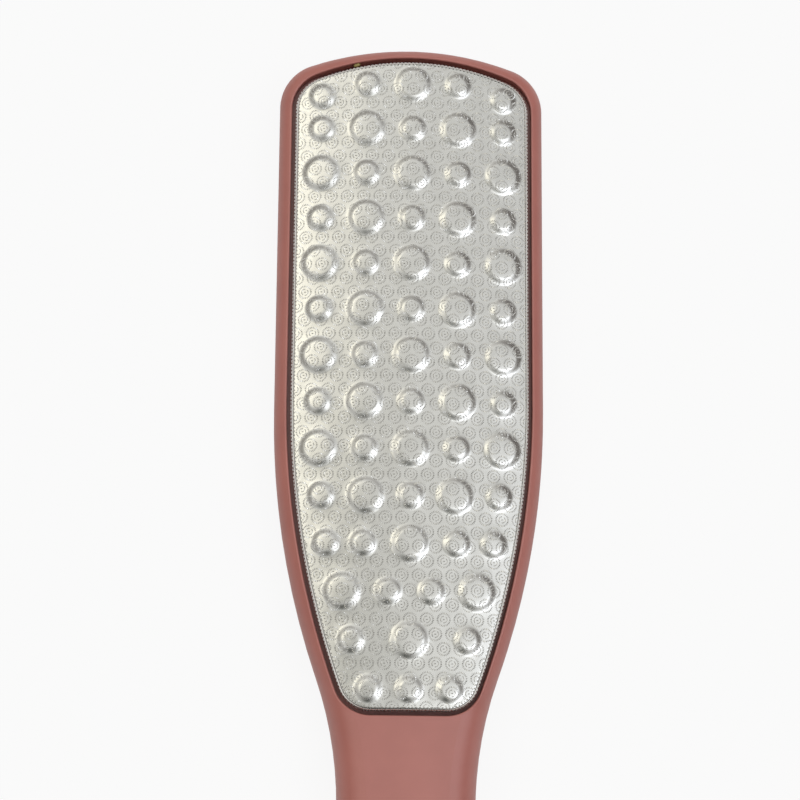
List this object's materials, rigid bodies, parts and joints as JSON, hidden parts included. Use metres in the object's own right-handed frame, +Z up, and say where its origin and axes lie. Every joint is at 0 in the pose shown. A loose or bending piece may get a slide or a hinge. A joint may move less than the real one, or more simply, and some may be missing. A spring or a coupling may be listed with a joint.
{
  "type": "foot file",
  "caption": "Paddle-shaped foot file: a slim two-shell plastic body with a domed coarse rasp plate set into the front and a flat fine rasp plate set into the back.",
  "frame": {"origin": "on the resting surface, under the middle of the part's length and width, with the fine plate's face lying on that surface", "axes": "+Y from the handle to the head, +Z up and out of the coarse face, +X to the right seen from the coarse side with the head away from the viewer"},
  "size_m": [0.054, 0.26, 0.0145],
  "materials": {
    "rose_soft_touch": "dusty rose soft-touch coating over moulded plastic, matt with a faint grain",
    "satin_nickel": "bright satin nickel on formed sheet steel, with fine raised teeth",
    "grey_backing": "dull grey moulded pad",
    "amber_glue": "set contact glue, amber and slightly cloudy"
  },
  "bodies": {
    "root": {"front_shell": "rose_soft_touch", "rear_shell": "rose_soft_touch", "coarse_plate": "satin_nickel", "fine_plate": "satin_nickel", "coarse_backing": "grey_backing", "fine_backing": "grey_backing", "coarse_plate_adhesive": "amber_glue", "coarse_backing_adhesive": "amber_glue", "fine_plate_adhesive": "amber_glue", "fine_backing_adhesive": "amber_glue"}
  },
  "joints": []
}
